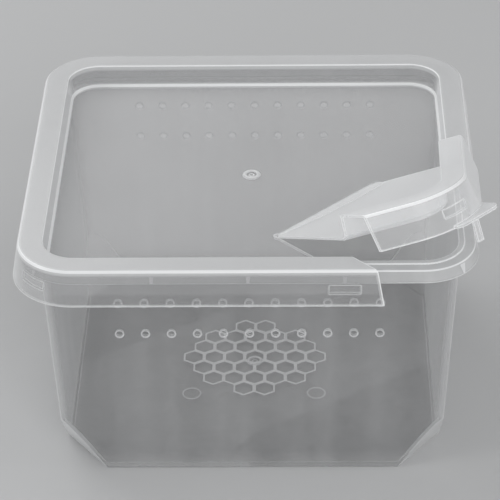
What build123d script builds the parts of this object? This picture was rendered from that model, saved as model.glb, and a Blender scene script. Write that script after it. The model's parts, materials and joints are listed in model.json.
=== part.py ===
from build123d import *
import os
from math import cos, radians, tan

# Spider breeding box: a tapered clear tub, a press-on lid, and one corner of the
# lid that opens as a flap on a film hinge. Millimetres, +Z up, +Y to the back.
# The origin is the centre of the tub's resting face.

# Tub shell
mouth_length = 162.0  # outer wall at the rim, left to right
mouth_depth = 154.4  # outer wall at the rim, front to back
tub_height = 102.5  # resting face to the top of the rim bead
wall_draft = 3.0  # degrees, the walls lean out as they rise
tub_wall = 1.2
floor_thickness = 1.4
foot_corner_radius = 9.7
cut_inset_front = 17.9  # bottom corner cut, along the front wall at the resting face
cut_inset_side = 23.0
cut_height = 31.3  # where that cut would reach the sharp upright corner
foot_round = 1.6
floor_chamfer = 1.0  # inside, where the walls meet the floor

# Tub rim, an upside-down U round the mouth
bead_rise = 0.4
bead_width = 1.3  # beyond the outer wall
bead_chamfer = 0.35
rim_reach = 5.2
rim_drop = 4.8
rim_wall = 1.0
rim_lean = 18.0  # degrees, the rim skirt spreads as it falls
rim_round = 0.8
rib_thickness = 1.0
rib_relief = 0.5  # ribs stop this far above the skirt's lower edge
rib_pitch_front = 36.3
rib_pitch_side = 33.0
rim_rib_count = 3

# Moulding gate marks, in the middle of the floor and of the lid's panel
gate_diameter = 6.6
gate_depth = 0.3
gate_nub_diameter = 2.0

# Vent holes, front and back walls
vent_diameter = 2.7
vent_sides = 12  # the many small round holes are drawn with flats
vent_pitch = 10.0
vents_in_row = 11
vent_rows = 2
vent_top_row = 83.2  # height of the upper row
vent_row_pitch = 14.6

# Lid
lid_wall = 0.9
lid_seat_clearance = 0.2  # over the bead
recess_depth = 9.5  # ring top down to the panel
plug_clearance = 0.4
plug_lean = 4.0  # degrees, the plug wall narrows as it falls
skirt_clearance = 1.5  # to the rim, where the rim turns down
skirt_lean = 10.0  # degrees, the lid skirt spreads as it falls
skirt_drop = 14.5  # ring top down to the skirt's lower edge
ring_outer_round = 1.6
ring_inner_round = 0.7
recess_chamfer = 0.8  # where the plug wall turns into the panel
panel_chamfer = 1.3  # under it

# Catch lugs inside the lid skirt, just below the rim skirt: one in each corner and
# one on the front wall beside the flap
lug_length = 12.0
lug_height = 3.4
lug_clearance = 0.3  # to the rim skirt
lug_drop = 0.4  # below the rim skirt's lower edge

# Corner flap
hinge_front = (10.6, -46.0)  # the front end of the hinge line, on the lid panel
hinge_length = 56.4
slit = 0.4
hinge_gap = 0.3
film_thickness = 0.35
film_half_width = 0.9
rear_slit_y = -8.4  # where the rear slit runs at panel level
rear_slit_lean = 20.0  # degrees, so that the ring's end clears as the flap lifts
tear_stop_diameter = 1.6
flap_rest_angle = 23.0  # how far the flap stands open at rest

# Pull tab on the flap's corner
tab_width = 23.0
tab_offset = 6.5  # along the hinge line's direction, from the corner's diagonal
tab_reach = 2.6  # beyond the skirt's corner
tab_thickness = 1.2
tab_corner_radius = 4.0
tab_rib_count = 3
tab_rib_pitch = 7.5
tab_rib_thickness = 1.0
tab_rib_height = 6.5
tab_rib_setback = 1.2
tongue_width = 3.0
tongue_length = 8.3
tongue_thickness = 1.0
tongue_offset = -2.8  # along the tab, from its middle

tolerance = 0.01  # for finding edges by their height

# Derived levels
reach = 2 * max(mouth_length, mouth_depth)  # longer than anything it cuts
flange_top = tub_height - bead_rise
rim_bottom = flange_top - rim_drop
lid_underside = tub_height + lid_seat_clearance
lid_top = lid_underside + lid_wall
panel_top = lid_top - recess_depth
panel_bottom = panel_top - lid_wall
skirt_bottom = lid_top - skirt_drop
mouth_radius = foot_corner_radius + tub_height * tan(radians(wall_draft))


def drafted_block(offset, level, low, high, lean):
    """A block whose outline stands `offset` outside the mouth's outer wall at height `level`.

    Its sides lean out by `lean` degrees as they rise, and in where lean is negative. The
    left half is drawn and mirrored, so the corners are true cones on both sides.
    """
    spread = 2 * (offset + (low - level) * tan(radians(lean)))
    outline = Pos(0, 0, low) * RectangleRounded(
        mouth_length + spread, mouth_depth + spread, mouth_radius + spread / 2
    )
    whole = extrude(outline, amount=high - low, taper=-lean)
    left = whole & Box(reach, 2 * reach, 2 * reach, align=(Align.MAX, Align.CENTER, Align.CENTER))
    return left + mirror(left, Plane.YZ)


def top_edges(solid):
    """The edges round a solid's highest face."""
    return solid.faces().sort_by(Axis.Z)[-1].edges()


def edges_at(solid, level):
    """The edges that lie flat at a height."""
    return solid.edges().filter_by_position(Axis.Z, level - tolerance, level + tolerance)


def corner_cutters(depth_inside):
    """Blocks beyond the four bottom corner cuts, moved `depth_inside` into the tub."""
    slope = tan(radians(wall_draft))
    half_length = mouth_length / 2 - tub_height * slope
    half_depth = mouth_depth / 2 - tub_height * slope
    corner_length = half_length + cut_height * slope
    corner_depth = half_depth + cut_height * slope
    cutters = []
    for across in (-1, 1):
        for along in (-1, 1):
            front_end = Vector(across * (half_length - cut_inset_front), along * half_depth, 0)
            side_end = Vector(across * half_length, along * (half_depth - cut_inset_side), 0)
            corner = Vector(across * corner_length, along * corner_depth, cut_height)
            normal = (side_end - front_end).cross(corner - front_end).normalized()
            outward = normal * (-1 if normal.Z > 0 else 1)
            origin = front_end - outward * depth_inside
            cutters.append(
                Plane(origin=origin, x_dir=side_end - front_end, z_dir=outward)
                * Box(reach, reach, reach, align=(Align.CENTER, Align.CENTER, Align.MIN))
            )
    return cutters


def make_tub():
    """The tub with its rim, ribs, vents and corner cuts."""
    outer = drafted_block(0, tub_height, 0, tub_height, wall_draft)
    cavity = drafted_block(-tub_wall, tub_height, floor_thickness, tub_height, wall_draft)
    for cutter in corner_cutters(0):
        outer -= cutter
    for cutter in corner_cutters(tub_wall):
        cavity -= cutter
    outer = fillet(edges_at(outer, 0), foot_round)
    cavity = chamfer(edges_at(cavity, floor_thickness), floor_chamfer)

    rim = drafted_block(rim_reach, flange_top, rim_bottom, flange_top, -rim_lean)
    rim = fillet(top_edges(rim), rim_round)
    channel = drafted_block(rim_reach - rim_wall, flange_top, rim_bottom, flange_top - rim_wall, -rim_lean)
    channel -= outer
    bead = drafted_block(bead_width, tub_height, flange_top, tub_height, 0)

    ribs = channel & rib_blocks()
    tub = outer + rim + bead - channel + ribs
    tub -= cavity
    tub = chamfer(edges_at(tub, tub_height), bead_chamfer)

    tub -= gate_dimple(floor_thickness)
    return tub - vent_drills()


def gate_dimple(level):
    """The ring-shaped dimple that a moulding gate leaves in a face at a height."""
    dimple = Pos(0, 0, level) * Cylinder(gate_diameter / 2, 2 * gate_depth)
    return dimple - Pos(0, 0, level) * Cylinder(gate_nub_diameter / 2, 2 * gate_depth)


def rib_blocks():
    """Plates that become the rim ribs where they cross the rim's channel."""
    low = rim_bottom + rib_relief
    height = flange_top - low
    blocks = []
    for step in range(rim_rib_count):
        place = step - (rim_rib_count - 1) / 2
        blocks.append(Pos(place * rib_pitch_front, 0, low) * plate(rib_thickness, reach, height))
        blocks.append(Pos(0, place * rib_pitch_side, low) * plate(reach, rib_thickness, height))
    return Compound(blocks + corner_bars(rib_thickness, low, height))


def corner_bars(width, low, height):
    """Bars that run out over the four upright corners, along their diagonals."""
    bars = []
    for across in (-1, 1):
        for along in (-1, 1):
            centre = Vector(
                across * (mouth_length / 2 - mouth_radius), along * (mouth_depth / 2 - mouth_radius), low
            )
            outward = Plane(origin=centre, x_dir=(across, along, 0), z_dir=(0, 0, 1))
            bars.append(outward * Box(reach / 4, width, height, align=(Align.MIN, Align.CENTER, Align.MIN)))
    return bars


def plate(length, depth, height):
    """A block that stands on its own bottom face."""
    return Box(length, depth, height, align=(Align.CENTER, Align.CENTER, Align.MIN))


def vent_drills():
    """Rows of drills that pass through the front and back walls together."""
    vent_outline = RegularPolygon(vent_diameter / 2, vent_sides)
    drills = []
    for row in range(vent_rows):
        for column in range(vents_in_row):
            x = (column - (vents_in_row - 1) / 2) * vent_pitch
            z = vent_top_row - row * vent_row_pitch
            drills.append(Pos(x, reach / 2, z) * extrude(Plane.XZ * vent_outline, amount=reach))
    return drills


def skirt_block(inset, low, high):
    """The space inside the lid skirt's outer face, or `inset` further in."""
    clear_of_rim = rim_reach + skirt_clearance + lid_wall / cos(radians(skirt_lean))
    return drafted_block(clear_of_rim - inset, flange_top, low, high, -skirt_lean)


def make_closed_lid():
    """The lid before its corner is cut free."""
    skin = lid_wall / cos(radians(skirt_lean))
    body = skirt_block(0, skirt_bottom, lid_top)
    body = fillet(top_edges(body), ring_outer_round)
    body -= skirt_block(skin, skirt_bottom, lid_underside)

    plug_offset = -tub_wall - plug_clearance
    plug = drafted_block(plug_offset, lid_underside, panel_bottom, lid_underside, plug_lean)
    body += chamfer(edges_at(plug, panel_bottom), panel_chamfer)
    recess_offset = plug_offset - lid_wall / cos(radians(plug_lean))
    recess = drafted_block(recess_offset, lid_underside, panel_top, lid_top, plug_lean)
    recess = chamfer(edges_at(recess, panel_top), recess_chamfer)
    body -= recess
    inner_edges = [e for e in edges_at(body, lid_top) if e.distance_to(recess) < tolerance]
    body = fillet(inner_edges, ring_inner_round)

    body -= gate_dimple(panel_top)
    return body + catch_lugs()


def catch_lugs():
    """Short ledges inside the skirt, that snap past the rim skirt."""
    top = rim_bottom - lug_drop
    rim_edge = rim_reach + rim_drop * tan(radians(rim_lean))
    ledge = skirt_block(lid_wall / 2, top - lug_height, top)
    ledge -= drafted_block(rim_edge + lug_clearance, rim_bottom, top - lug_height, top, 0)
    spans = corner_bars(lug_length, top - lug_height, lug_height)
    front = Pos(rib_pitch_front, -reach / 2, top - lug_height)
    spans.append(front * plate(lug_length, reach, lug_height))
    return ledge & Compound(spans)


def hinge_frame(level):
    """A frame on the hinge line: X along it to the back right, Y away from the corner."""
    return Plane(origin=(*hinge_front, level), x_dir=(1, 1, 0), z_dir=(0, 0, 1))


def flap_space(grow):
    """The corner of the lid that belongs to the flap, grown by `grow` at the slits."""
    start = -grow
    front = hinge_frame(0) * Pos(start, (hinge_gap / 2) * (1 if grow else -1), 0)
    quarter = front * Box(reach, reach, reach, align=(Align.MIN, Align.MAX, Align.CENTER))
    back = rear_slit_y + grow / cos(radians(rear_slit_lean))
    slope = tan(radians(rear_slit_lean))
    half = Polyline(
        (-reach, -reach),
        (back - (reach + panel_top) * slope, -reach),
        (back + (reach - panel_top) * slope, reach),
        (-reach, reach),
        close=True,
    )
    behind = extrude(Plane.YZ * make_face(half), amount=reach, both=True)
    return quarter & behind


def tab_frame(level):
    """A frame at the tab's middle: X along the tab, Y towards the lid's middle."""
    corner = Vector(mouth_length / 2 - mouth_radius, mouth_radius - mouth_depth / 2, level)
    return Plane(origin=corner, x_dir=(1, 1, 0), z_dir=(0, 0, 1)) * Pos(tab_offset, 0, 0)


def make_pull_tab():
    """The lip on the flap's corner, its gusset ribs and its tongue."""
    skirt_spread = (flange_top - skirt_bottom) * tan(radians(skirt_lean))
    skin = lid_wall / cos(radians(skirt_lean))
    corner_reach = mouth_radius + rim_reach + skirt_clearance + skin + skirt_spread
    tip = corner_reach + tab_reach
    lip = extrude(
        tab_frame(skirt_bottom)
        * Pos(0, -tip / 2)
        * RectangleRounded(tab_width, tip, tab_corner_radius),
        amount=tab_thickness,
    )
    gusset = make_face(
        Polyline(
            (0, 0),
            (tip - tab_rib_setback, 0),
            (corner_reach - skin, tab_rib_height),
            (0, tab_rib_height),
            close=True,
        )
    )
    tab = lip
    for step in range(tab_rib_count):
        place = (step - (tab_rib_count - 1) / 2) * tab_rib_pitch
        stand = tab_frame(skirt_bottom + tab_thickness) * Pos(place, 0, 0) * Plane.YZ
        tab += extrude(stand * mirror(gusset, Plane.YZ), amount=tab_rib_thickness / 2, both=True)
    tab -= skirt_block(skin, skirt_bottom - reach, lid_underside)
    tongue = (
        tab_frame(skirt_bottom)
        * Pos(tongue_offset, -tip + tab_rib_setback, 0)
        * Box(
            tongue_width,
            tongue_thickness,
            tongue_length,
            align=(Align.CENTER, Align.MAX, Align.MAX),
        )
    )
    return tab + tongue


closed_lid = make_closed_lid()

# The film groove runs under the hinge line, so both edges thin out to the film.
groove = hinge_frame(panel_top - film_thickness) * Pos(hinge_length / 2, 0, 0) * Box(
    hinge_length,
    2 * film_half_width,
    lid_wall,
    align=(Align.CENTER, Align.CENTER, Align.MAX),
)
tear_stop = hinge_frame(panel_top) * Cylinder(tear_stop_diameter / 2, 3 * lid_wall)

box_tub = make_tub()
lid = closed_lid - flap_space(slit) - groove - tear_stop
flap_closed = (closed_lid & flap_space(0)) - groove - tear_stop + make_pull_tab()

hinge_axis = Axis((*hinge_front, panel_top), (-1, -1, 0))
corner_flap = flap_closed.rotate(hinge_axis, flap_rest_angle)

os.makedirs("parts", exist_ok=True)
for name, solid in (("box_tub", box_tub), ("lid", lid), ("corner_flap", corner_flap)):
    solid.label = name
    export_step(solid, os.path.join("parts", name + ".step"))
    size = solid.bounding_box().size
    print(f"{name}: {len(solid.solids())} solid, {solid.volume:.0f} mm3")
    print(f"    {size.X:.1f} x {size.Y:.1f} x {size.Z:.1f} mm")
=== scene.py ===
# %% [markdown]
# # A spider breeding box
#
# The box is two injection mouldings in natural polypropylene: a tapered tub and a
# press-on lid. One corner of the lid is cut free and swings up on a film hinge, as
# a feeding flap. This notebook starts from the measured model of the box, lights
# it like a product picture, gives it a milky clear plastic, and adds the small
# moulded details that are too fine for the measured model.

# %% Load the measured model
import json
from math import pi, radians, sqrt, tan

import bmesh
import bpy
from mathutils import Matrix, Vector


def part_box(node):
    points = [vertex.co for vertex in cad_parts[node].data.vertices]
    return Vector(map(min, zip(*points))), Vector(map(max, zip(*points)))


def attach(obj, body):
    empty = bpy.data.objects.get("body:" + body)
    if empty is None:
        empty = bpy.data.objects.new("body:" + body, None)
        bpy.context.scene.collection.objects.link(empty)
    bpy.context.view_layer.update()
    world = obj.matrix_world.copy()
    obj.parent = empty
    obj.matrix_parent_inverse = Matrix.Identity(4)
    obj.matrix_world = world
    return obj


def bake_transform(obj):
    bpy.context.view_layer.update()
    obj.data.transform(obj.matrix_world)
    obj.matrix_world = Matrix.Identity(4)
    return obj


MM = 0.001
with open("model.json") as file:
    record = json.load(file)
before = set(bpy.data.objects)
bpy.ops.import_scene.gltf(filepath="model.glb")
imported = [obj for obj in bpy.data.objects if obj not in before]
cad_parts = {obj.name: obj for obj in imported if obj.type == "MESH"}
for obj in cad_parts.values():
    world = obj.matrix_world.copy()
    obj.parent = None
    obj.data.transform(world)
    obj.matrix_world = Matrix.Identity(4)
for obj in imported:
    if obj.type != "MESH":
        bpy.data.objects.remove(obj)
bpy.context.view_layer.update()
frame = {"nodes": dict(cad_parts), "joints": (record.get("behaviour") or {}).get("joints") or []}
tub_low, tub_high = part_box("box_tub")
lid_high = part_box("lid")[1]
hinge = next(j for j in frame["joints"] if j["name"] == "flap_hinge")
hinge_point = Vector(hinge["pos_m"])
hinge_axis = Vector(hinge["axis"]).normalized()
FLAP_ANGLE = radians(23.0)
print("nodes:", sorted(frame["nodes"]))
print("tub", [round(v / MM, 1) for v in (*tub_low, *tub_high)])

# %% [markdown]
# ## Stage, light and camera
#
# Clear plastic shows what is behind it, so the stage is part of the look: a pale
# grey sweep, darker than white, lets the bright moulded edges stand out. A floor
# and a wall would do as a stage too, but their corner would show through the box,
# so the sweep is one sheet that curves up behind it. The light is a large soft box
# behind on the left, a smaller one on each side, a fill from the front and an even
# world. They are set so that a matt colour renders about as it is written.

# %% A pale sweep under and behind the box
SWEEP_COLOUR = (0.50, 0.505, 0.51)
SWEEP_HALF = 3.0
SWEEP_BACK = 1.6
SWEEP_RISE = 2.4
SWEEP_CURVE = 0.8
SWEEP_ROUGHNESS = 0.9


def plain_material(name, colour, roughness):
    """A matt paint with one colour, for the stage only."""
    material = bpy.data.materials.new(name)
    material.use_nodes = True
    shader = material.node_tree.nodes["Principled BSDF"]
    shader.inputs["Base Color"].default_value = (*colour, 1)
    shader.inputs["Roughness"].default_value = roughness
    return material


def new_piece(name, mesh_maker, material, smooth=True):
    """A mesh object at the origin, filled by a function that works on a bmesh."""
    bm = bmesh.new()
    mesh_maker(bm)
    mesh = bpy.data.meshes.new(name)
    bm.to_mesh(mesh)
    bm.free()
    for polygon in mesh.polygons:
        polygon.use_smooth = smooth
    mesh.materials.append(material)
    piece = bpy.data.objects.new(name, mesh)
    bpy.context.scene.collection.objects.link(piece)
    return piece


def sweep(bm):
    """A floor whose far edge is extruded up into a backdrop and rounded there."""
    bmesh.ops.create_grid(bm, x_segments=1, y_segments=1, size=SWEEP_HALF)
    far = [v for v in bm.verts if v.co.y > 0]
    bmesh.ops.translate(bm, verts=far, vec=(0, SWEEP_BACK - SWEEP_HALF, 0))
    far_edge = [e for e in bm.edges if all(v in far for v in e.verts)]
    wall = bmesh.ops.extrude_edge_only(bm, edges=far_edge)["geom"]
    top = [v for v in wall if isinstance(v, bmesh.types.BMVert)]
    bmesh.ops.translate(bm, verts=top, vec=(0, 0, SWEEP_RISE))
    crease = [e for e in bm.edges if all(v in far for v in e.verts)]
    bmesh.ops.bevel(
        bm,
        geom=crease,
        offset=SWEEP_CURVE,
        segments=16,
        affect="EDGES",
        profile=0.5,
        material=-1,
    )


stage_paint = plain_material("stage_paint", SWEEP_COLOUR, SWEEP_ROUGHNESS)
stage = new_piece("stage_sweep", sweep, stage_paint)
print("stage", len(stage.data.polygons), "faces")

# %% Soft boxes and an even world
LAMPS = {
    "key_back_left": {"place": (-0.55, 0.65, 0.85), "size": 0.9, "energy": 4.8},
    "side_left": {"place": (-1.0, -0.45, 0.55), "size": 0.35, "energy": 2.4},
    "side_right": {"place": (1.1, -0.1, 0.45), "size": 0.35, "energy": 1.68},
    "front_fill": {"place": (0.25, -1.0, 0.75), "size": 0.5, "energy": 4.0},
}
LAMP_TARGET = Vector((0, 0, 0.05))
WORLD_LEVEL = 0.52


def soft_box(name, place, size, energy):
    """A square area lamp that faces the box."""
    lamp = bpy.data.lights.new(name, "AREA")
    lamp.size = size
    lamp.energy = energy
    holder = bpy.data.objects.new(name, lamp)
    holder.location = place
    towards = LAMP_TARGET - Vector(place)
    holder.rotation_euler = towards.to_track_quat("-Z", "Y").to_euler()
    bpy.context.scene.collection.objects.link(holder)


for name, values in LAMPS.items():
    soft_box(name, **values)
print("lamps:", list(LAMPS))

world = bpy.data.worlds.new("even_light")
world.use_nodes = True
world.node_tree.nodes["Background"].inputs["Color"].default_value = (1, 1, 1, 1)
world.node_tree.nodes["Background"].inputs["Strength"].default_value = WORLD_LEVEL
bpy.context.scene.world = world

# %% The camera, at the photograph's height and angle
CAMERA_PLACE = (0.020104, -0.823716, 0.595085)
CAMERA_DIP = 0.57789
CAMERA_YAW = -0.02584
CAMERA_ROLL = -0.0186
CAMERA_LENS = 171.47
CAMERA_SENSOR = 36
SEE_THROUGH_LAYERS = 48

camera_data = bpy.data.cameras.new("camera")
camera_data.lens = CAMERA_LENS
camera_data.sensor_width = CAMERA_SENSOR
camera = bpy.data.objects.new("camera", camera_data)
camera.matrix_world = (
    Matrix.Translation(CAMERA_PLACE)
    @ Matrix.Rotation(-CAMERA_YAW, 4, "Z")
    @ Matrix.Rotation(pi / 2 - CAMERA_DIP, 4, "X")
    @ Matrix.Rotation(CAMERA_ROLL, 4, "Z")
)
bpy.context.scene.collection.objects.link(camera)
bpy.context.scene.camera = camera
bpy.context.scene.view_settings.view_transform = "Standard"
bpy.context.scene.cycles.transparent_max_bounces = SEE_THROUGH_LAYERS
print("camera", [round(v, 3) for v in CAMERA_PLACE], "lens", CAMERA_LENS)

# %% [markdown]
# ## Milky clear plastic
#
# Natural polypropylene is clear but never glassy. It has a grey haze, slow clouds
# where the melt flowed, and fine handling marks. Upright streaks are added too: they
# are painted highlights and painted shade, for the bright and dark bands that a curved
# wall makes by bending light. One node group makes these effects, and each material
# gives it its own strength. The wall is thin, so light is let straight through with
# Alpha instead of bent: two faces make one wall, and each face holds back half of what
# the wall does. At a slanting view a real wall holds back more and shines more, which
# Layer Weight adds outside the group.

# %% Helpers that add one node each
def link(tree, source, target):
    tree.links.new(source, target)


def maths(tree, operation, *values):
    """A Math node, fed in order with sockets or plain numbers."""
    node = tree.nodes.new("ShaderNodeMath")
    node.operation = operation
    for socket, value in zip(node.inputs, values):
        if isinstance(value, (int, float)):
            socket.default_value = value
        else:
            link(tree, value, socket)
    return node.outputs[0]


def noise(tree, place, scale, detail):
    """Soft noise around 0.5. The scale is in blotches per metre."""
    node = tree.nodes.new("ShaderNodeTexNoise")
    node.inputs["Scale"].default_value = scale
    node.inputs["Detail"].default_value = detail
    link(tree, place, node.inputs["Vector"])
    return node.outputs["Fac"]


def drawn_out(tree, place, scale, turn=(0, 0, 0)):
    """Coordinates that are scaled by a different amount on each axis, and turned."""
    node = tree.nodes.new("ShaderNodeMapping")
    node.inputs["Rotation"].default_value = turn
    node.inputs["Scale"].default_value = scale
    link(tree, place, node.inputs["Vector"])
    return node.outputs["Vector"]


def ranged(tree, value, start, end, share=1.0):
    """0 before `start`, `share` past `end`."""
    node = tree.nodes.new("ShaderNodeMapRange")
    node.inputs["From Min"].default_value = start
    node.inputs["From Max"].default_value = end
    node.inputs["To Max"].default_value = share
    link(tree, value, node.inputs["Value"])
    return node.outputs["Result"]


# %% The haze group
GROUP_INPUTS = {"Clouds": 0.5, "Scuffs": 0.5, "Streaks": 0.0, "Body": 0.6, "Haze": 0.2}
GROUP_OUTPUTS = {"Color": "Color", "Roughness": "Float", "Alpha": "Float", "Height": "Float"}
CLOUD_SCALE = 22
SPECKLE_SCALE = 900
STREAK_SCALE = (75, 75, 5)
SCUFF_SCALE = (60, 900, 60)
SCUFF_TURN = (0.3, 0.5, 0.6)
SCUFF_RANGE = (0.66, 0.74)
SHADE = {"cloud": 0.18, "scuff": 0.22, "streak": 0.50, "speckle": 0.10}
HOLD = {"cloud": 0.12, "scuff": 0.12, "streak": 0.20}
SATIN = 0.26
ROUGHER = {"cloud": 0.16, "scuff": 0.25}
SCUFF_DEPTH = -0.2
TINT = (1.0, 1.008, 1.02)


def haze_group():
    """Clouds, speckle, scuffs and painted streaks of highlight and shade, in Object coordinates."""
    group = bpy.data.node_groups.new("moulded_haze_and_painted_streaks", "ShaderNodeTree")
    face = group.interface
    for name, default in GROUP_INPUTS.items():
        socket = face.new_socket(name=name, in_out="INPUT", socket_type="NodeSocketFloat")
        socket.default_value = default
    for name, kind in GROUP_OUTPUTS.items():
        face.new_socket(name=name, in_out="OUTPUT", socket_type="NodeSocket" + kind)
    given = group.nodes.new("NodeGroupInput").outputs
    result = group.nodes.new("NodeGroupOutput").inputs
    place = group.nodes.new("ShaderNodeTexCoord").outputs["Object"]

    def total(start, parts, shares):
        for name, share in shares.items():
            start = maths(group, "ADD", start, maths(group, "MULTIPLY", parts[name], share))
        return start

    def around_zero(value):
        return maths(group, "SUBTRACT", value, 0.5)

    melt = noise(group, place, CLOUD_SCALE, 3)
    # The upright streaks are painted highlights and painted shade of a curved wall.
    streaks = noise(group, drawn_out(group, place, STREAK_SCALE), 1, 2)
    scratches = noise(group, drawn_out(group, place, SCUFF_SCALE, SCUFF_TURN), 1, 4)
    thin = ranged(group, scratches, *SCUFF_RANGE)
    parts = {
        "cloud": maths(group, "MULTIPLY", around_zero(melt), given["Clouds"]),
        "scuff": maths(group, "MULTIPLY", thin, given["Scuffs"]),
        "streak": maths(group, "MULTIPLY", around_zero(streaks), given["Streaks"]),
        "speckle": around_zero(noise(group, place, SPECKLE_SCALE, 2)),
    }
    level = total(given["Body"], parts, SHADE)
    tint = group.nodes.new("ShaderNodeCombineColor")
    for channel, share in zip(tint.inputs, TINT):
        link(group, maths(group, "MULTIPLY", level, share), channel)
    link(group, tint.outputs["Color"], result["Color"])
    rough = {"cloud": melt, "scuff": parts["scuff"]}
    link(group, total(SATIN, rough, ROUGHER), result["Roughness"])
    link(group, total(given["Haze"], parts, HOLD), result["Alpha"])
    link(group, total(melt, parts, {"scuff": SCUFF_DEPTH}), result["Height"])
    return group


HAZE = haze_group()
print("group sockets:", [s.name for s in HAZE.interface.items_tree])

# %% [markdown]
# Light that enters a clear moulding runs along inside the wall and comes out at
# its edges, so every rim, rib and cut edge shines. The Bevel node finds these
# edges: within its radius it turns the normal, and the more it turns, the nearer
# is an edge. Other masks find what else looks lighter in the light: places above
# or below a height, and faces by their slope. All of them paint light: they mix a
# pale colour into the plastic, as painted highlights on edges, folds, rims and
# slanting faces. They read the piece's own space, so that a piece looks the same
# when it moves. The edges could be painted by hand instead, but masks made from
# the shape find every one of them.

# %% Masks for what shines
UP = Vector((0, 0, 1))
EDGE_SAMPLES = 4
EDGE_TURN = (0.985, 0.90)
FLAT_TURN = (0.6, 0.9)
WALL_TURN = (0.4, 0.2)
FOLD_START = (0.22, 0.40)
FOLD_END = (0.985, 0.90)


def dot(tree, first, second):
    """The cosine between two directions. The second may be a plain vector."""
    node = tree.nodes.new("ShaderNodeVectorMath")
    node.operation = "DOT_PRODUCT"
    link(tree, first, node.inputs[0])
    if isinstance(second, Vector):
        node.inputs[1].default_value = second
    else:
        link(tree, second, node.inputs[1])
    return node.outputs["Value"]


def edge_glow(tree, reach):
    """1 on an edge of the moulding, falling to 0 at `reach` from it."""
    rounded = tree.nodes.new("ShaderNodeBevel")
    rounded.samples = EDGE_SAMPLES
    rounded.inputs["Radius"].default_value = reach
    surface = tree.nodes.new("ShaderNodeNewGeometry")
    agreement = dot(tree, rounded.outputs["Normal"], surface.outputs["Normal"])
    return ranged(tree, agreement, *EDGE_TURN)


def height_mask(tree, start, end, share):
    """0 at the height `start` of the object, `share` at `end`, which may be lower."""
    place = tree.nodes.new("ShaderNodeTexCoord")
    split = tree.nodes.new("ShaderNodeSeparateXYZ")
    link(tree, place.outputs["Object"], split.inputs["Vector"])
    return ranged(tree, split.outputs["Z"], start, end, share)


def flatness(tree, up):
    """1 on a face that looks along `up` or against it, 0 on a wall."""
    surface = tree.nodes.new("ShaderNodeTexCoord")
    return maths(tree, "ABSOLUTE", dot(tree, surface.outputs["Normal"], up))


def fold_mask(tree, up, share):
    """A painted highlight: `share` where a moulding turns from flat to upright, seen from `up`."""
    facing = flatness(tree, up)
    steep_side = ranged(tree, facing, *FOLD_START, share)
    flat_side = ranged(tree, facing, *FOLD_END, share)
    return maths(tree, "MINIMUM", steep_side, flat_side)


# %% A clear plastic made with them
CLOUDS = 0.6
SCUFFS = 0.2
SLANT_BLEND = 0.5
SLANT_POWER = 2.2
RIM_FADE = 1.5 * MM
# PALE is the colour of the painted light on edges, rims, foot, folds and slanting faces.
PALE = (0.95, 0.96, 0.97, 1)
BUMP_STRENGTH = 0.25
BUMP_DEPTH = 0.3 * MM
POLYPROPYLENE_IOR = 1.49
COAT_WEIGHT = 0.4
COAT_ROUGHNESS = 0.22


def blended(tree, kind, mask, first, second):
    """A Mix node that goes from a socket to a plain value with the mask."""
    mix = tree.nodes.new("ShaderNodeMix")
    mix.data_type = kind
    mix.inputs["B"].default_value = second
    link(tree, mask, mix.inputs["Factor"])
    link(tree, first, mix.inputs["A"])
    return mix.outputs["Result"]


def clear_plastic(
    name,
    body,
    haze,
    edge_alpha,
    reach,
    rims=(),
    flat=None,
    fold=None,
    fold_above=None,
    foot=None,
    streaks=0.0,
):
    """A see-through polypropylene. haze is what one face holds back, seen square on."""
    material = bpy.data.materials.new(name)
    material.use_nodes = True
    tree = material.node_tree
    shader = tree.nodes["Principled BSDF"].inputs
    grain = tree.nodes.new("ShaderNodeGroup")
    grain.node_tree = HAZE
    strengths = {"Clouds": CLOUDS, "Scuffs": SCUFFS, "Streaks": streaks, "Body": body, "Haze": haze}
    for socket, value in strengths.items():
        grain.inputs[socket].default_value = value

    slant = tree.nodes.new("ShaderNodeLayerWeight")
    slant.inputs["Blend"].default_value = SLANT_BLEND
    slope = maths(tree, "POWER", slant.outputs["Facing"], SLANT_POWER)
    # Every mask below paints light: edges, bands above rims, the foot of the walls, faces by slope
    # and folds.
    masks = [edge_glow(tree, reach)]
    for level, share in rims:
        masks.append(height_mask(tree, level - RIM_FADE, level, share))
    if foot:
        level, share = foot
        upright = ranged(tree, flatness(tree, UP), *WALL_TURN)
        masks.append(maths(tree, "MINIMUM", upright, height_mask(tree, level, 0.0, share)))
    if flat:
        up, share = flat
        masks.append(ranged(tree, flatness(tree, up), *FLAT_TURN, share))
    if fold:
        turning = fold_mask(tree, *fold)
        if fold_above:
            above = height_mask(tree, fold_above - RIM_FADE, fold_above, 1.0)
            turning = maths(tree, "MINIMUM", turning, above)
        masks.append(turning)
    glow = slope
    for mask in masks:
        glow = maths(tree, "MAXIMUM", glow, mask)

    colour = blended(tree, "RGBA", glow, grain.outputs["Color"], PALE)
    link(tree, colour, shader["Base Color"])
    alpha = blended(tree, "FLOAT", glow, grain.outputs["Alpha"], edge_alpha)
    link(tree, alpha, shader["Alpha"])
    link(tree, grain.outputs["Roughness"], shader["Roughness"])
    bump = tree.nodes.new("ShaderNodeBump")
    bump.inputs["Strength"].default_value = BUMP_STRENGTH
    bump.inputs["Distance"].default_value = BUMP_DEPTH
    link(tree, grain.outputs["Height"], bump.inputs["Height"])
    link(tree, bump.outputs["Normal"], shader["Normal"])
    shader["IOR"].default_value = POLYPROPYLENE_IOR
    shader["Coat Weight"].default_value = COAT_WEIGHT
    shader["Coat Roughness"].default_value = COAT_ROUGHNESS
    return material
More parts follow.
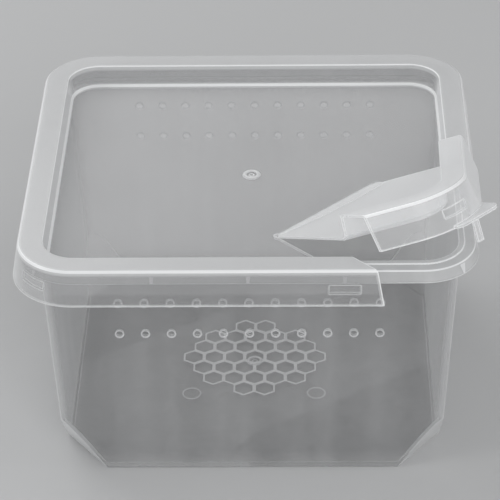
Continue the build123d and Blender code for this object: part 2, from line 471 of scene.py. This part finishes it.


# %% [markdown]
# Tub and lid differ in thickness and in how their rims stand to the light. The tub's
# body is a dark grey, which paints the shade inside the box, and the lighter bands at
# the rims, the ring and the tub's foot are painted light. The flap is the lid's own
# plastic, but it is bent up and catches more light than the panel beside it, so it
# gets a material of its own with a paler body, which paints that light. The fine
# details are solid little ridges, which scatter more light than a wall does.

# %% The plastics of the three mouldings
FLAP_UP = Matrix.Rotation(FLAP_ANGLE, 3, hinge_axis) @ UP
# The shares below paint light: highlights on folds, the flap's up-facing faces, and lighter bands
# above the rims and at the tub's foot.
FOLD_SHARE = 0.9
FLAP_SHARE = 0.22
TUB_RIM = (98 * MM, 0.55)
TUB_FOOT = (12 * MM, 0.32)
LID_RING = (102 * MM, 0.56)
LID_WALLS = (94.6 * MM, 0.12)
# The tub's dark body is painted shade for its inside; its rim, foot and fold masks paint light, and
# its streaks paint highlight and shade.
tub_plastic = clear_plastic(
    "clear_tub_plastic",
    body=0.32,
    haze=0.15,
    edge_alpha=0.92,
    reach=0.6 * MM,
    rims=(TUB_RIM,),
    fold=(UP, FOLD_SHARE),
    fold_above=100 * MM,
    foot=TUB_FOOT,
    streaks=1.0,
)
# The lid's ring and wall bands and its folds are painted light.
lid_plastic = clear_plastic(
    "clear_lid_plastic",
    body=0.50,
    haze=0.15,
    edge_alpha=0.95,
    reach=1.0 * MM,
    rims=(LID_RING, LID_WALLS),
    fold=(UP, FOLD_SHARE),
)
# A lit copy of the lid's plastic: its paler body and the flat mask paint the light the raised flap
# catches, and the fold mask paints highlights.
flap_plastic = clear_plastic(
    "flap_plastic_painted_light",
    body=0.90,
    haze=0.17,
    edge_alpha=0.98,
    reach=1.0 * MM,
    flat=(FLAP_UP, FLAP_SHARE),
    fold=(FLAP_UP, FOLD_SHARE),
)

MOULDINGS = {"box_tub": tub_plastic, "lid": lid_plastic, "corner_flap": flap_plastic}
for name, plastic in MOULDINGS.items():
    node = frame["nodes"][name]
    node.data.materials.clear()
    node.data.materials.append(plastic)
    print(name, len(node.data.polygons), "triangles")

# %% The plastics of the fine details
mark_plastic = clear_plastic(
    "moulded_mark_plastic", body=0.90, haze=0.40, edge_alpha=0.70, reach=0.3 * MM
)
collar_plastic = clear_plastic(
    "vent_collar_plastic", body=0.92, haze=0.32, edge_alpha=0.80, reach=0.15 * MM
)
relief_plastic = clear_plastic(
    "floor_relief_plastic", body=0.94, haze=0.62, edge_alpha=0.80, reach=0.1 * MM
)
print("materials:", sorted(m.name for m in bpy.data.materials))

# %% [markdown]
# ## Levels and slopes, read from the measured model
#
# The fine details sit on the walls, the floor and the lid's panel. Their places
# follow from the boxes of the three parts and a few values of the mouldings.

# %% Where the surfaces are
WALL_DRAFT = radians(3.0)
RIM_REACH = 5.2 * MM
RIM_LEAN = radians(18.0)
RIM_SIDE_HEIGHT = 4.8 * MM
FLOOR_TOP = 1.4 * MM
PANEL_DEPTH = 9.5 * MM
rim_reach_at_foot = RIM_REACH + RIM_SIDE_HEIGHT * tan(RIM_LEAN)
tub_top = tub_high[2]
half_mouth_length = tub_high[0] - rim_reach_at_foot
half_mouth_depth = tub_high[1] - rim_reach_at_foot
panel_top = lid_high[2] - PANEL_DEPTH


def wall_y(height):
    """How far the front or back wall's outer face stands from the middle at a height."""
    return half_mouth_depth - (tub_top - height) * tan(WALL_DRAFT)


print("wall at the rim", round(wall_y(tub_top) / MM, 2), "panel", round(panel_top / MM, 2))

# %% [markdown]
# ## Vent collars
#
# Each vent is pierced through a small moulded disc, which keeps the edge of the
# hole round and stiff. On the real wall these discs read as a bright ring round
# each hole. A torus would be quicker but has no flat top, so one ring is spun from
# its cross-section and then copied along the row.

# %% A ring from its cross-section
RING_CROWN = 0.35


def new_verts(made):
    """The points among what an operator says it made."""
    return [v for v in made["geom"] if isinstance(v, bmesh.types.BMVert)]


def spun_ring(bm, inner, outer, height, steps=24):
    """A low ring round the Z axis that stands on z = 0, with a rounded top."""
    bevel = min((outer - inner) / 2, height) * RING_CROWN
    outline = [
        (inner, 0.0),
        (inner, height - bevel),
        (inner + bevel, height),
        (outer - bevel, height),
        (outer, height - bevel),
        (outer, 0.0),
    ]
    verts = [bm.verts.new((x, 0, z)) for x, z in outline]
    edges = [bm.edges.new(pair) for pair in zip(verts, verts[1:] + verts[:1])]
    bmesh.ops.spin(
        bm,
        geom=verts + edges,
        axis=(0, 0, 1),
        cent=(0, 0, 0),
        steps=steps,
        angle=2 * pi,
        use_merge=True,
    )
    bmesh.ops.remove_doubles(bm, verts=bm.verts[:], dist=1e-7)
    bmesh.ops.recalc_face_normals(bm, faces=bm.faces[:])


# %% Collars along both rows of both walls
COLLAR_INNER = 1.323 * MM
VENT_PITCH = 10.0 * MM
VENT_COLUMNS = 11
VENT_LEVELS = (83.2 * MM, 68.6 * MM)
COLLAR_RADIUS = 1.85 * MM
COLLAR_HEIGHT = 0.2 * MM


def vent_collars(side):
    """Two rows of collars on the front wall (side -1) or the back wall (side 1)."""

    def make(bm):
        spun_ring(bm, COLLAR_INNER, COLLAR_RADIUS, COLLAR_HEIGHT)
        pattern_verts = bm.verts[:]
        pattern = bm.verts[:] + bm.edges[:] + bm.faces[:]
        lean = Matrix.Rotation(side * (-pi / 2 + WALL_DRAFT), 4, "X")
        for level in VENT_LEVELS:
            for column in range(VENT_COLUMNS):
                x = (column - (VENT_COLUMNS - 1) / 2) * VENT_PITCH
                copied = bmesh.ops.duplicate(bm, geom=pattern)
                place = Matrix.Translation((x, side * wall_y(level), level)) @ lean
                bmesh.ops.transform(bm, matrix=place, verts=new_verts(copied))
        bmesh.ops.delete(bm, geom=pattern_verts, context="VERTS")

    return make


for side, name in ((-1, "vent_collars_front"), (1, "vent_collars_back")):
    collars = new_piece(name, vent_collars(side), collar_plastic)
    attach(collars, "tub")
    print(name, len(collars.data.polygons), "faces")

# %% [markdown]
# ## Rib marks on the rim
#
# Under the tub's rim stand thin ribs. Where one meets the rim's outer side, the
# plastic is thicker and reads as a short bright bar, wider at its top. The bars
# could be drawn in the material, but real ones also catch light at their sides.
# Each is a cube pressed flat, leaned like the rim and turned to its side or corner.

# %% Bars where the ribs meet the rim
RIB_PITCH_FRONT = 36.3 * MM
RIB_PITCH_SIDE = 33.0 * MM
FLANGE_TOP = 102.1 * MM
MARK_LOW = 97.5 * MM
MARK_HIGH = 101.2 * MM
MARK_WIDTHS = (1.0 * MM, 1.9 * MM)
CORNER_WIDTHS = (0.7 * MM, 2.6 * MM)
MARK_DEPTH = 0.12 * MM
MARK_SUNK = 0.08 * MM
FOOT_RADIUS = 9.7 * MM
mouth_radius = FOOT_RADIUS + tub_top * tan(WALL_DRAFT)


def rim_bar(bm, centre, wall_distance, place, turn, widths=MARK_WIDTHS):
    """One bar on the rim, `wall_distance` from `centre` to the wall, turned about it."""
    verts = bmesh.ops.create_cube(bm, size=1)["verts"]
    for vert in verts:
        high = vert.co.z > 0
        level = MARK_HIGH if high else MARK_LOW
        out = wall_distance + RIM_REACH + (FLANGE_TOP - level) * tan(RIM_LEAN)
        out += MARK_DEPTH if vert.co.y < 0 else -MARK_SUNK
        vert.co = (place + vert.co.x * widths[high], -out, level)
    turned = Matrix.Translation((*centre, 0)) @ Matrix.Rotation(turn, 4, "Z")
    bmesh.ops.transform(bm, matrix=turned, verts=verts)


def rim_bars(bm):
    """Three bars on each side and one in each corner."""
    for step in (-1, 0, 1):
        for turn in (0, pi):
            rim_bar(bm, (0, 0), half_mouth_depth, step * RIB_PITCH_FRONT, turn)
            rim_bar(bm, (0, 0), half_mouth_length, step * RIB_PITCH_SIDE, turn + pi / 2)
    for quarter in range(4):
        turn = pi / 4 + quarter * pi / 2
        across = 1 if quarter in (0, 1) else -1
        along = 1 if quarter in (1, 2) else -1
        centre_x = across * (half_mouth_length - mouth_radius)
        centre_y = along * (half_mouth_depth - mouth_radius)
        rim_bar(bm, (centre_x, centre_y), mouth_radius, 0, turn, widths=CORNER_WIDTHS)


bars = new_piece("rim_rib_marks", rim_bars, relief_plastic, smooth=False)
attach(bars, "tub")
print("rib marks", len(bars.data.polygons), "faces")

# %% [markdown]
# ## Gate marks and ejector marks
#
# Plastic enters a mould through a gate, which leaves a small raised ring in the
# middle of the floor and of the lid. The pins that push the moulding out leave
# round marks on the floor. All are spun rings again.

# %% Rings on the floor and the lid
GATE_RING = {"inner": 2.1 * MM, "outer": 3.3 * MM}
GATE_HEIGHT_LID = 0.5 * MM
GATE_HEIGHT_FLOOR = 0.35 * MM
PIN_RING = {"inner": 3.4 * MM, "outer": 4.0 * MM, "height": 0.2 * MM}
PIN_PLACES = ((-26 * MM, -23.2 * MM), (26 * MM, -23.2 * MM))
MARK_STEPS = 32


def ring_at(place, inner, outer, height):
    """A maker for one ring, moved to its place."""

    def make(bm):
        spun_ring(bm, inner, outer, height, MARK_STEPS)
        bmesh.ops.translate(bm, verts=bm.verts[:], vec=place)

    return make


lid_ring = ring_at((0, 0, panel_top), **GATE_RING, height=GATE_HEIGHT_LID)
gate_lid = new_piece("gate_ring_lid", lid_ring, mark_plastic)
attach(gate_lid, "lid")
floor_ring = ring_at((0, 0, FLOOR_TOP), **GATE_RING, height=GATE_HEIGHT_FLOOR)
gate_floor = new_piece("gate_ring_floor", floor_ring, mark_plastic)
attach(gate_floor, "tub")
for number, (x, y) in enumerate(PIN_PLACES):
    pin_ring = ring_at((x, y, FLOOR_TOP), **PIN_RING)
    pin = new_piece(f"ejector_mark_{number}", pin_ring, mark_plastic)
    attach(pin, "tub")
print("gate rings:", gate_lid.name, gate_floor.name, "and", len(PIN_PLACES), "pin marks")

# %% [markdown]
# ## Honeycomb relief in the floor
#
# The middle of the floor carries a low moulded relief, an oval field of ribs that
# stiffens the thin base. Here it is a plain honeycomb. A bump texture would vanish
# at a low view, so it is a mesh. Six-sided cells are laid side by side over the oval
# and merged, each is inset and its middle taken out, and the lattice that is left is
# raised in one go, so that no rib has a wall inside it.

# %% The honeycomb
RELIEF_CENTRE = (0.0, 2.7 * MM)
RELIEF_HALF = (31.0 * MM, 26.7 * MM)
CELL_RADIUS = 5.0 * MM
CELL_RIB = 0.8 * MM
RELIEF_HEIGHT = 0.25 * MM
RELIEF_EDGE = 0.86
CELL_ROWS = range(-3, 4)
CELL_COLUMNS = range(-4, 5)


def honeycomb(bm):
    """Cells whose middles lie in the oval, merged, hollowed and raised."""
    column_step = CELL_RADIUS * sqrt(3)
    row_step = CELL_RADIUS * 1.5
    middle = Matrix.Translation((*RELIEF_CENTRE, FLOOR_TOP))
    for row in CELL_ROWS:
        for column in CELL_COLUMNS:
            x = (column + 0.5 * (row % 2)) * column_step
            y = row * row_step
            if (x / RELIEF_HALF[0]) ** 2 + (y / RELIEF_HALF[1]) ** 2 > RELIEF_EDGE:
                continue
            place = middle @ Matrix.Translation((x, y, 0))
            bmesh.ops.create_circle(
                bm, cap_ends=True, segments=6, radius=CELL_RADIUS, matrix=place
            )
    bmesh.ops.remove_doubles(bm, verts=bm.verts[:], dist=0.05 * MM)
    cells = bm.faces[:]
    bmesh.ops.inset_individual(bm, faces=cells, thickness=CELL_RIB)
    bmesh.ops.delete(bm, geom=cells, context="FACES_ONLY")
    raised = bmesh.ops.extrude_face_region(bm, geom=bm.faces[:], use_keep_orig=True)
    bmesh.ops.translate(bm, verts=new_verts(raised), vec=(0, 0, RELIEF_HEIGHT))
    bmesh.ops.recalc_face_normals(bm, faces=bm.faces[:])


relief = new_piece("floor_honeycomb", honeycomb, relief_plastic, smooth=False)
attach(relief, "tub")
print("honeycomb faces", len(relief.data.polygons))

# %% [markdown]
# ## The film hinge
#
# Lid and flap are one moulding: along the hinge line the panel thins to a film
# that bends. A stiff strip would tear from one side as the flap moves. So it is made
# flat, as moulded, and each lengthwise row of its points is turned about the hinge by
# its own share of the flap's opening.

# %% The strip between lid and flap
hinge_across = Vector((1, -1, 0)).normalized()
HINGE_LENGTH = 56.4 * MM
FILM_THICKNESS = 0.35 * MM
FILM_HALF = 0.6 * MM
FILM_ROWS = 8
FILM_STEPS = 24
TEAR_STOP = 0.9 * MM


def share_of_turn(across):
    """The part of the flap's turn that a point of the film takes."""
    t = min(max((across + FILM_HALF) / (2 * FILM_HALF), 0.0), 1.0)
    return t * t * (3 - 2 * t)


def at_hinge(along, across, height):
    """A point from its place along and across the hinge, with the flap shut."""
    return hinge_point - hinge_axis * along + hinge_across * across + Vector((0, 0, height))


def opened(point, turn):
    """The point, turned about the hinge as the flap opens by `turn`."""
    return hinge_point + Matrix.Rotation(turn, 3, hinge_axis) @ (point - hinge_point)


def slab(bm, steps, rows, height):
    """A grid of unit size, given a thickness up (or down, if negative)."""
    bmesh.ops.create_grid(bm, x_segments=steps, y_segments=rows, size=0.5)
    solid = bmesh.ops.extrude_face_region(bm, geom=bm.faces[:])
    bmesh.ops.translate(bm, verts=new_verts(solid), vec=(0, 0, height))


def film(bm):
    """The strip, bent row by row from the lid's panel to the flap's."""
    slab(bm, FILM_STEPS, FILM_ROWS, -FILM_THICKNESS)
    length = HINGE_LENGTH - TEAR_STOP
    for vert in bm.verts:
        along = TEAR_STOP + (vert.co.x + 0.5) * length
        across = vert.co.y * 2 * FILM_HALF
        vert.co = opened(at_hinge(along, across, vert.co.z), FLAP_ANGLE * share_of_turn(across))
    bmesh.ops.recalc_face_normals(bm, faces=bm.faces[:])


hinge_film = new_piece("hinge_film", film, mark_plastic)
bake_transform(hinge_film)
print("film faces", len(hinge_film.data.polygons))

# %% [markdown]
# ## The bend band and the tear stop
#
# Beside the film a low band lies on the flap's panel, a second layer that looks
# lighter, and it widens from the front end of the hinge. A grid is bent to its curved
# outline. At the front end the slit stops in a small hole with a raised lip, so that
# it can't tear on. The lip is an arc, because the flap's own quarter of the circle
# stays free.

# %% A low band along the hinge
BAND_START = 2.0 * MM
BAND_END = 56.0 * MM
BAND_WIDEST = 6.6 * MM
BAND_WIDEST_AT = 40.0 * MM
BAND_INNER = 1.0 * MM
BAND_NARROWEST = 0.1 * MM
BAND_HEIGHT = 0.2 * MM
BAND_STEPS = 40


def bend_band(bm):
    """A low slab beside the hinge, whose width follows a parabola."""
    slab(bm, BAND_STEPS, 1, BAND_HEIGHT)
    for vert in bm.verts:
        along = BAND_START + (vert.co.x + 0.5) * (BAND_END - BAND_START)
        width = BAND_WIDEST * (1 - ((along - BAND_WIDEST_AT) / BAND_WIDEST_AT) ** 2)
        across = BAND_INNER + (vert.co.y + 0.5) * max(width - BAND_INNER, BAND_NARROWEST)
        vert.co = opened(at_hinge(along, across, vert.co.z), FLAP_ANGLE)
    bmesh.ops.recalc_face_normals(bm, faces=bm.faces[:])


band = new_piece("flap_bend_band", bend_band, flap_plastic, smooth=False)
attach(band, "flap")
print("band faces", len(band.data.polygons))

# %% The lip round the tear stop
LIP_INNER = 0.85 * MM
LIP_OUTER = 1.45 * MM
LIP_HEIGHT = 0.3 * MM
LIP_GAP = radians(14)
LIP_STEPS = 24


def tear_stop_lip(bm):
    """A square-edged ring with a quarter and a little more left out, ends closed."""
    outline = [(LIP_INNER, 0), (LIP_INNER, LIP_HEIGHT), (LIP_OUTER, LIP_HEIGHT), (LIP_OUTER, 0)]
    verts = [bm.verts.new((x, 0, z)) for x, z in outline]
    edges = [bm.edges.new(pair) for pair in zip(verts, verts[1:] + verts[:1])]
    free = pi / 2 + 2 * LIP_GAP
    bmesh.ops.spin(
        bm,
        geom=verts + edges,
        axis=(0, 0, 1),
        cent=(0, 0, 0),
        steps=LIP_STEPS,
        angle=2 * pi - free,
    )
    bmesh.ops.holes_fill(bm, edges=bm.edges[:], sides=0)
    bmesh.ops.recalc_face_normals(bm, faces=bm.faces[:])
    turn = Matrix.Translation(hinge_point) @ Matrix.Rotation(pi / 4 + LIP_GAP, 4, "Z")
    bmesh.ops.transform(bm, matrix=turn, verts=bm.verts[:])


lip = new_piece("tear_stop_lip", tear_stop_lip, mark_plastic, smooth=False)
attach(lip, "lid")
print("lip faces", len(lip.data.polygons))
